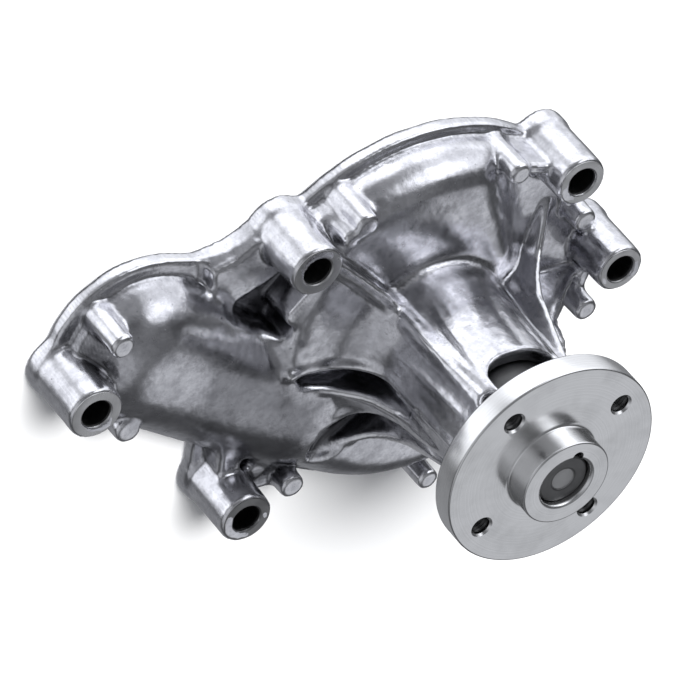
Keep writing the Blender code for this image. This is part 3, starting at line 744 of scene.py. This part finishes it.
def lathe(name, profile, steps=160, centre=(0.0, 0.0)):
    """A closed ring from a loop of (radius, z) in millimetres."""
    rows = []
    builder = bmesh.new()
    for radius, z in profile:
        if radius < 1e-6:
            rows.append([builder.verts.new((centre[0] * MM, centre[1] * MM, z * MM))] * steps)
            continue
        row = []
        for step in range(steps):
            x, y = around(radius, 360 * step / steps)
            row.append(builder.verts.new(((centre[0] + x) * MM, (centre[1] + y) * MM, z * MM)))
        rows.append(row)
    for one, two in zip(rows, rows[1:] + rows[:1]):
        for step in range(steps):
            corners = (one[step], two[step], two[(step + 1) % steps], one[(step + 1) % steps])
            unique = list(dict.fromkeys(corners))
            if len(unique) > 2:
                builder.faces.new(unique)
    bmesh.ops.recalc_face_normals(builder, faces=builder.faces)
    return end_mesh(builder, name)


def rounded(profile, radius, steps=4):
    """A closed profile with each corner replaced by a small arc."""
    points = [Vector(p) for p in profile]
    result = []
    for index, corner in enumerate(points):
        before = (points[index - 1] - corner)
        after = (points[(index + 1) % len(points)] - corner)
        reach = min(radius, before.length * 0.45, after.length * 0.45)
        if corner.x < 1e-6 or reach < 1e-4:
            result.append(tuple(corner))
            continue
        start = corner + before.normalized() * reach
        end = corner + after.normalized() * reach
        for step in range(steps + 1):
            t = step / steps
            point = start * (1 - t) ** 2 + corner * 2 * t * (1 - t) + end * t * t
            result.append(tuple(point))
    return result


def boolean_cut(obj, cutters):
    """Cuts a list of closed meshes out of an object and keeps the result as its mesh."""
    temporary = []
    for mesh in cutters:
        cutter = bpy.data.objects.new("cutter", mesh)
        bpy.context.scene.collection.objects.link(cutter)
        temporary.append(cutter)
        modifier = obj.modifiers.new("cut", "BOOLEAN")
        modifier.operation = "DIFFERENCE"
        modifier.solver = "EXACT"
        modifier.object = cutter
    bpy.context.view_layer.update()
    evaluated = obj.evaluated_get(bpy.context.evaluated_depsgraph_get())
    mesh = bpy.data.meshes.new_from_object(evaluated)
    obj.modifiers.clear()
    obj.data = mesh
    for cutter in temporary:
        bpy.data.objects.remove(cutter)


# ---------------------------------------------------------------- pieces
def make_housing(skin):
    mesh = build_casting()
    casting = show("housing_casting", mesh, skin, "housing")
    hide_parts("pump_body")


def make_boss_seats(plain_seat, shaded_seat, bore_shade):
    """The spot-faced ring round each bolt hole, and the drilled wall with its tool rings. The lower boss's
    ring takes a darker copy of the spot face as painted shade, and the drilled wall's near-black colour is
    painted shade.
    """
    for name, (x, y, radius) in BOSSES.items():
        outer = radius - 0.9
        profile = rounded(((outer, BOSS_HEIGHT + 0.05), (outer, BOSS_HEIGHT - 0.6),
                           (BOSS_HOLE - 0.05, BOSS_HEIGHT - 0.6), (BOSS_HOLE - 0.05, BOSS_HEIGHT - 0.35),
                           (BOSS_HOLE + 0.45, BOSS_HEIGHT + 0.05)), 0.15)
        mesh = lathe(f"{name}_boss_seat", profile, 96, (x, y))
        # Painted shade: the lower boss's seat gets the darker copy of the spot face.
        material = shaded_seat if name == "lower" else plain_seat
        show(f"{name}_boss_seat", mesh, material, "housing")
        wall = [(BOSS_HOLE + 0.15, 0.4), (BOSS_HOLE + 0.15, BOSS_HEIGHT - 0.7)]
        rings = 20
        for index in range(2 * rings + 1):
            z = BOSS_HEIGHT - 0.7 - (BOSS_HEIGHT - 1.1) * index / (2 * rings)
            wall.append((BOSS_HOLE - (0.22 if index % 2 else 0.08), z))
        # The drilled wall's near-black colour is painted shade in the bolt hole.
        mesh = lathe(f"{name}_bolt_bore", wall, 48, (x, y))
        show(f"{name}_bolt_bore", mesh, bore_shade, "housing")


def threaded_cutter(name, x, y, low, high):
    """The hole a tap leaves: a core with a ring groove at every pitch and a countersunk mouth."""
    core, depth, pitch = TAP_CORE, TAP_DEPTH, TAP_PITCH
    profile = [(0, low), (core, low)]
    z = low + 0.4
    while z + pitch < high - 0.8:
        profile += [(core, z), (core + depth, z + pitch / 2), (core, z + pitch)]
        z += pitch
    profile += [(core, high - 0.7), (core + depth + 0.5, high + 0.3), (0, high + 0.3)]
    return lathe(name, list(reversed(profile)), 40, (x, y))


def make_hub(steel, thread_shade):
    """The drive hub with its spigot, tapped holes and key notch."""
    low, high = (Vector(corner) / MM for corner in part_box("hub_flange"))
    outer = high.x
    face, rear, spigot, spigot_top = 97.0, 88.5, 16.25, high.z
    bore = 9.5
    profile = (
        (spigot, spigot_top), (spigot, face + 0.3), (spigot + 1.0, face), (outer, face), (outer, rear),
        (17, rear), (17, low.z), (bore, low.z), (bore, spigot_top - 0.8), (bore + 0.8, spigot_top))
    hub = show("drive_hub", lathe("drive_hub", rounded(profile, 0.7), 192), steel, "rotor")
    holes = []
    for index in range(4):
        x, y = around(PULLEY_CIRCLE, 37.5 + 90 * index)
        holes.append(threaded_cutter(f"tap_{index}", x, y, rear - 1, face))
    x, y = around(bore + 0.9, 255)
    notch = ((0, spigot_top + 1), (0, face - 2), (2.1, face - 2), (2.1, spigot_top + 1))
    holes.append(lathe("key_notch", list(reversed(notch)), 24, (x, y)))
    boolean_cut(hub, holes)
    hub.data.shade_smooth()
    hub.data.set_sharp_from_angle(angle=math.radians(40))
    # The tapped holes' threads take a near-black material, as painted shade in the holes.
    hub.data.materials.append(thread_shade)
    for polygon in hub.data.polygons:
        place = polygon.center / MM
        off_circle = abs(math.hypot(place.x, place.y) - PULLEY_CIRCLE)
        if off_circle < TAP_CORE + TAP_DEPTH + 0.05 and rear + 0.2 < place.z < face - 0.5:
            polygon.material_index = 1
    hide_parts("hub_flange")


def make_shaft(steel):
    low, high = (Vector(corner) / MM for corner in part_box("bearing_shaft"))
    end = high.z
    profile = [(0, end - 0.7), (4.1, end - 0.7), (4.5, end - 0.3), (8.7, end - 0.3), (9.3, end - 0.9),
               (9.3, 76)]
    for centre in BALL_ROWS.values():
        profile += [(9.3, centre + 1.7), (8.95, centre + 0.9), (8.85, centre), (8.95, centre - 0.9),
                    (9.3, centre - 1.7)]
    profile += [(9.3, 32.6), (8.0, 32.6), (8.0, 11.7), (7.5, 11.7), (7.5, low.z + 0.8),
                (6.7, low.z), (0, low.z)]
    shaft = show("pump_shaft", lathe("pump_shaft", rounded(profile, 0.35, 2), 128), steel, "rotor")
    shaft.data.set_sharp_from_angle(angle=math.radians(40))
    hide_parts("bearing_shaft")


def groove(centre_z, wall):
    """Points of a ball raceway in a bore, from its lower edge up to its upper edge."""
    half = math.acos((wall - BALL_CIRCLE) / RACEWAY_RADIUS)
    points = []
    for index in range(9):
        angle = half * (index / 4 - 1)
        points.append((BALL_CIRCLE + RACEWAY_RADIUS * math.cos(angle),
                       centre_z + RACEWAY_RADIUS * math.sin(angle)))
    return points


def turned_piece(node, profile, edge, material, body, steps=96, sharp=50):
    """A turned piece in place of a CAD node, with its edges broken."""
    piece = show(f"fine_{node}", lathe(f"fine_{node}", rounded(profile, edge, 3), steps), material,
                 body)
    piece.data.set_sharp_from_angle(angle=math.radians(sharp))
    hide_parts(node)
    return piece


def make_bearing(materials):
    """Outer ring with its two raceways, the balls, and a lip seal at each end."""
    steel, rubber = materials["bearing_steel"], materials["black_rubber"]
    low, high, wall = BEARING_REAR + 0.3, BEARING_FRONT, 14.6
    profile = [(17, low), (17, low + 3), (wall, low + 3)]
    profile += groove(BALL_ROWS["rear"], wall) + groove(BALL_ROWS["front"], wall)
    profile += [(wall, high - 3), (17, high - 3), (17, high), (18.4, high), (19.05, high - 0.7),
                (19.05, low + 0.7), (18.4, low)]
    # The outer ring's near-black steel is painted shade inside the snout.
    turned_piece("bearing_outer_ring", profile, 0.25, steel, "housing", 128)
    lip = [(16.7, 81.3), (16.7, 83.5), (16.0, 83.7), (15.2, 83.7), (14.5, 83.1), (11.6, 83.1), (10.7, 83.6),
           (9.8, 83.4), (9.62, 82.9), (10.2, 82.3), (10.9, 82.0), (11.3, 81.5), (12.2, 81.3)]
    turned_piece("bearing_seal_front", lip, 0.2, rubber, "housing")
    mirrored = [(radius, low + high - z) for radius, z in reversed(lip)]
    turned_piece("bearing_seal_rear", mirrored, 0.2, rubber, "housing")
    for row, height in BALL_ROWS.items():
        for index in range(BALL_COUNT):
            x, y = around(BALL_CIRCLE, 360 * index / BALL_COUNT)
            name = f"ball_{row}_{index + 1}"
            builder = bmesh.new()
            bmesh.ops.create_uvsphere(builder, u_segments=28, v_segments=18, radius=BALL_RADIUS * MM)
            bmesh.ops.translate(builder, verts=builder.verts, vec=Vector((x, y, height)) * MM)
            ball = show(name, end_mesh(builder, name), materials["ball"], f"{row}_balls")
            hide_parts(f"bearing_ball_{row}_{index + 1}")


def make_seal(materials):
    """The mechanical seal: case, coil spring, bellows, retainer, carbon and ceramic faces, boot."""
    sheet, rubber = materials["stainless_sheet"], materials["black_rubber"]
    turned_piece("seal_case", (
        (18.0, 26.5), (18.0, 15.5), (17.0, 15.5), (17.0, 25.5), (10.5, 25.5), (10.5, 26.5)),
        0.7, sheet, "housing")
    turned_piece("seal_spring_retainer", (
        (15.6, 21.3), (15.6, 18.3), (14.8, 18.3), (14.8, 20.3), (9.6, 20.3), (9.6, 21.3)),
        0.5, sheet, "seal_face")
    turned_piece("seal_carbon_ring", (
        (14.4, 20.0), (14.4, 18.2), (12.6, 17.8), (12.6, 16.6), (9.4, 16.6), (9.4, 20.0)),
        0.25, materials["carbon_graphite"], "seal_face")
    turned_piece("seal_boot", (
        (15.2, 15.4), (15.2, 12.0), (8.3, 12.0), (8.3, 13.2), (14.2, 13.2), (14.2, 15.4)),
        0.4, rubber, "rotor")
    turned_piece("seal_mating_ring", ((8.6, 13.5), (13.9, 13.5), (13.9, 16.3), (8.6, 16.3)),
                 0.3, materials["ceramic"], "rotor")
    turned_piece("slinger_ring", (
        (8.3, 30.0), (12.6, 30.0), (13.5, 30.4), (13.5, 31.0), (12.4, 31.4), (10.4, 30.9), (8.3, 31.4)),
        0.2, rubber, "rotor")
    folds = [(9.6, SPRING_TOP), (9.6, 23.9), (10.3, 23.4), (9.6, 22.9), (9.6, SPRING_LOW), (11.6, SPRING_LOW),
             (11.6, 22.5), (10.7, 23.4), (11.6, 24.3), (11.6, SPRING_TOP)]
    bellows = turned_piece("seal_bellows", folds, 0.35, rubber, "housing")
    spring = show("fine_seal_spring", coil("fine_seal_spring"), sheet, "housing")
    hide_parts("seal_spring")
    for piece in (bellows, spring):
        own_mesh(piece)


def coil(name):
    """A wire helix between the case and the retainer, its ends closed by small caps."""
    wire, radius, turns, steps, sides = 0.55, 13.4, 2, 96, 12
    low, high = SPRING_LOW + wire, SPRING_TOP - wire
    builder = bmesh.new()
    rows = []
    for index in range(turns * steps + 1):
        height = low + (high - low) * index / (turns * steps)
        row = []
        for side in range(sides):
            reach, rise = around(wire, 360 * side / sides)
            x, y = around(radius + reach, 360 * index / steps)
            row.append(builder.verts.new((x * MM, y * MM, (height + rise) * MM)))
        rows.append(row)
    for one, two in zip(rows, rows[1:]):
        for side in range(sides):
            after = (side + 1) % sides
            builder.faces.new((one[side], one[after], two[after], two[side]))
    builder.faces.new(list(reversed(rows[0])))
    builder.faces.new(rows[-1])
    bmesh.ops.recalc_face_normals(builder, faces=builder.faces)
    return end_mesh(builder, name)


def make_impeller(iron):
    """The cast impeller: a shroud and hub with curved vanes towards the gasket side."""
    rear, top, shroud = 1.5, 11.4, 8.9
    field = Field((-38, -38, 0), (38, 38, 13), 0.6)
    field.add(lambda x, y, z: slab(np.hypot(x, y) - IMPELLER_RADIUS, z, shroud, top, 0.7), blend=0)
    field.add(lambda x, y, z: slab(np.hypot(x, y) - 13.2 - (z - rear) * 0.08, z, rear, top, 0.7), blend=1.5)
    for index in range(VANES):
        line = []
        for step in range(9):
            radius = 11 + (IMPELLER_RADIUS - 12.8) * step / 8
            line.append(around(radius, 360 / VANES * index - 55 * step / 8))

        def vane(x, y, z):
            plan = np.minimum.reduce([segment_distance(x, y, a, b) for a, b in zip(line, line[1:])])
            return slab(plan - 1.2 - (z - rear) * 0.05, z, rear, shroud + 1, 0.7)
        field.add(vane, blend=1.5)
    field.soften()
    for index in range(2):
        cx, cy = around(18, 20 + 180 * index)
        field.cut(lambda x, y, z: np.hypot(x - cx, y - cy) - 2, blend=0.5)
    field.cut(lambda x, y, z: np.hypot(x, y) - 7.8)
    impeller = show("cast_impeller", field.mesh("cast_impeller", {}), iron, "rotor")
    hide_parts("impeller")


def make_floor():
    """A pale seamless floor, part of the studio."""
    builder = bmesh.new()
    bmesh.ops.create_grid(builder, x_segments=8, y_segments=8, size=3.0)
    mesh = end_mesh(builder, "studio_floor")
    floor = bpy.data.objects.new("studio_floor", mesh)
    bpy.context.scene.collection.objects.link(floor)
    floor.location.z = -0.0005
    nodes = Nodes("studio_floor_paint")
    tone = nodes.mix(nodes.ramp(nodes.noise(6), 0, 1), grey(0.86), grey(0.90))
    mesh.materials.append(nodes.set(Base_Color=tone, Roughness=0.75))
    floor.visible_glossy = False      # bright metal mirrors the room's panels, not the floor
    floor.visible_shadow = False


def on_sphere(azimuth, elevation, distance=1.0):
    a, e = math.radians(azimuth), math.radians(elevation)
    return distance * Vector((math.cos(e) * math.cos(a), math.cos(e) * math.sin(a), math.sin(e)))


# Soft panels of the room round the part: azimuth, elevation, inner and outer radius in
# degrees, and brightness. They are part of the sky, so they cast no hard shadows.
ROOM_LIGHT = 0.095
PANELS = {
    "overhead_left": (-94, -36, 8, 36, 1.85),
    "overhead_right": (-20, -38, 8, 36, 1.35),
    "between": (-48, -10, 6, 24, 0.3),
    "side_low": (-152, -40, 8, 32, 0.95),
    "window": (-132, 3, 12, 42, 1.2),
    "front": (-116, 35, 8, 24, 1.5),
    "low_front": (-80, 14, 12, 32, 0.22),
    "left": (-8, 26, 14, 42, 0.42),
    "high": (40, 55, 8, 34, 0.26),
    "top": (0, 85, 15, 48, 0.12),
    "back": (130, 37, 9, 24, 0.53),
    "under": (75, -36, 18, 50, 0.2),
    "under_back": (152, -34, 10, 30, 0.12),
}


def make_room(world):
    """A dim sky with soft bright panels, each a smooth spot round a direction."""
    tree = world.node_tree
    direction = tree.nodes.new("ShaderNodeTexCoord").outputs["Generated"]
    total = None
    for azimuth, elevation, inner, outer, radiance in PANELS.values():
        dot = tree.nodes.new("ShaderNodeVectorMath")
        dot.operation = "DOT_PRODUCT"
        tree.links.new(direction, dot.inputs[0])
        dot.inputs[1].default_value = on_sphere(azimuth, elevation)
        spot = tree.nodes.new("ShaderNodeMapRange")
        spot.interpolation_type = "SMOOTHSTEP"
        tree.links.new(dot.outputs["Value"], spot.inputs["Value"])
        spot.inputs["From Min"].default_value = math.cos(math.radians(outer))
        spot.inputs["From Max"].default_value = math.cos(math.radians(inner))
        spot.inputs["To Min"].default_value = 0.0 if total else ROOM_LIGHT
        spot.inputs["To Max"].default_value = radiance
        if total:
            add = tree.nodes.new("ShaderNodeMath")
            add.operation = "ADD"
            tree.links.new(total, add.inputs[0])
            tree.links.new(spot.outputs["Result"], add.inputs[1])
            total = add.outputs[0]
        else:
            total = spot.outputs["Result"]
    background = tree.nodes["Background"]
    background.inputs["Color"].default_value = (0.93, 0.95, 1.0, 1.0)
    tree.links.new(total, background.inputs["Strength"])


def make_lights(scene):
    """The room, and a diffuse sun that whitens the floor and that metal doesn't mirror."""
    world = bpy.data.worlds.new("studio")
    world.use_nodes = True
    make_room(world)
    scene.world = world
    sun_data = bpy.data.lights.new("floor_sun", "SUN")
    sun_data.angle = math.radians(30)
    sun_data.energy = 4.9
    sun = bpy.data.objects.new("floor_sun", sun_data)
    scene.collection.objects.link(sun)
    sun.rotation_euler = (-on_sphere(-85, 52)).to_track_quat("-Z", "Y").to_euler()
    sun.visible_glossy = False
    scene.view_settings.view_transform = "Standard"


# The camera: the way from the part to it, its turn about its own axis, and what it looks at.
VIEW_AZIMUTH = -53.501
VIEW_ELEVATION = 39.375
VIEW_ROLL = 139.329
VIEW_TARGET = (69.8, -52.3, 73.7)     # millimetres
VIEW_DISTANCE = 1.35     # metres
LENS = 222.3


def make_camera(scene):
    back = on_sphere(VIEW_AZIMUTH, VIEW_ELEVATION)
    level = Vector((0, 0, 1)).cross(back).normalized()
    right = Matrix.Rotation(math.radians(VIEW_ROLL), 3, back) @ level
    turn = Matrix((right, back.cross(right), back)).transposed().to_4x4()
    camera_data = bpy.data.cameras.new("camera")
    camera_data.sensor_width = 36
    camera_data.lens = LENS
    camera_data.clip_end = 20
    camera = bpy.data.objects.new("camera", camera_data)
    scene.collection.objects.link(camera)
    camera.matrix_world = Matrix.Translation(Vector(VIEW_TARGET) * MM + back * VIEW_DISTANCE) @ turn
    scene.camera = camera


def dress_cad_nodes():
    """Carried-over CAD nodes keep their shape and get a finished surface."""
    by_slot = {
        # The bearing steel is near black, as painted shade inside the snout.
        "bearing_steel": turned_steel("painted_shade_bearing_steel", 0.11, 2600.0, (0.35, 0.5)),
        "stainless_sheet": plain_grain("pressed_stainless", grey(0.62), grey(0.74), 1500, (0.25, 0.4), 1.0),
        "cage_nylon": plain_grain("moulded_nylon", (0.66, 0.58, 0.42, 1), (0.74, 0.67, 0.52, 1), 1200,
                                  (0.4, 0.6)),
        "black_rubber": plain_grain("moulded_rubber", grey(0.018), grey(0.045), 1800, (0.5, 0.8)),
        "carbon_graphite": plain_grain("lapped_carbon", grey(0.03), grey(0.06), 2500, (0.25, 0.45)),
        "ceramic": plain_grain("lapped_ceramic", grey(0.78), grey(0.86), 2500, (0.12, 0.25)),
        "cast_iron": plain_grain("sand_cast_iron", grey(0.20), grey(0.34), 1100, (0.45, 0.7), 1.0, 0.00012),
    }
    slots = {part["node"]: part["material_slot"] for part in frame["record"]["subparts"]}
    for name, obj in frame["nodes"].items():
        material = by_slot.get(slots.get(name))
        if material:
            for slot in obj.material_slots:
                slot.material = material
    return by_slot


make_floor()
make_lights(bpy.context.scene)
make_camera(bpy.context.scene)
MATERIALS = dress_cad_nodes()
STEEL = turned_steel(level=0.82)
make_housing(cast_aluminium())
# The second spot face is a darker copy, as painted shade on the lower boss.
make_boss_seats(turned_steel("spot_faced_aluminium", 0.54, 1800.0, (0.25, 0.4)),
                turned_steel("painted_shade_spot_face", 0.24, 1800.0, (0.3, 0.45)),
                # The bore wall's near-black colour is painted shade in the bolt holes.
                plain_grain("painted_shade_bore_wall", grey(0.03), grey(0.10), 900, (0.4, 0.6), 1.0))
# The hub's thread material is near black, as painted shade in its tapped holes.
make_hub(STEEL, plain_grain("painted_shade_thread", grey(0.05), grey(0.13), 1500, (0.35, 0.5), 1.0))
MATERIALS["ball"] = plain_grain("polished_ball", grey(0.66), grey(0.72), 2500, (0.06, 0.14), 1.0)
make_bearing(MATERIALS)
make_seal(MATERIALS)
make_impeller(MATERIALS["cast_iron"])
make_shaft(turned_steel("dark_shaft_steel", 0.16, 2000.0, (0.35, 0.5), centre=(0.0042, 0.42)))

bpy.context.view_layer.update()
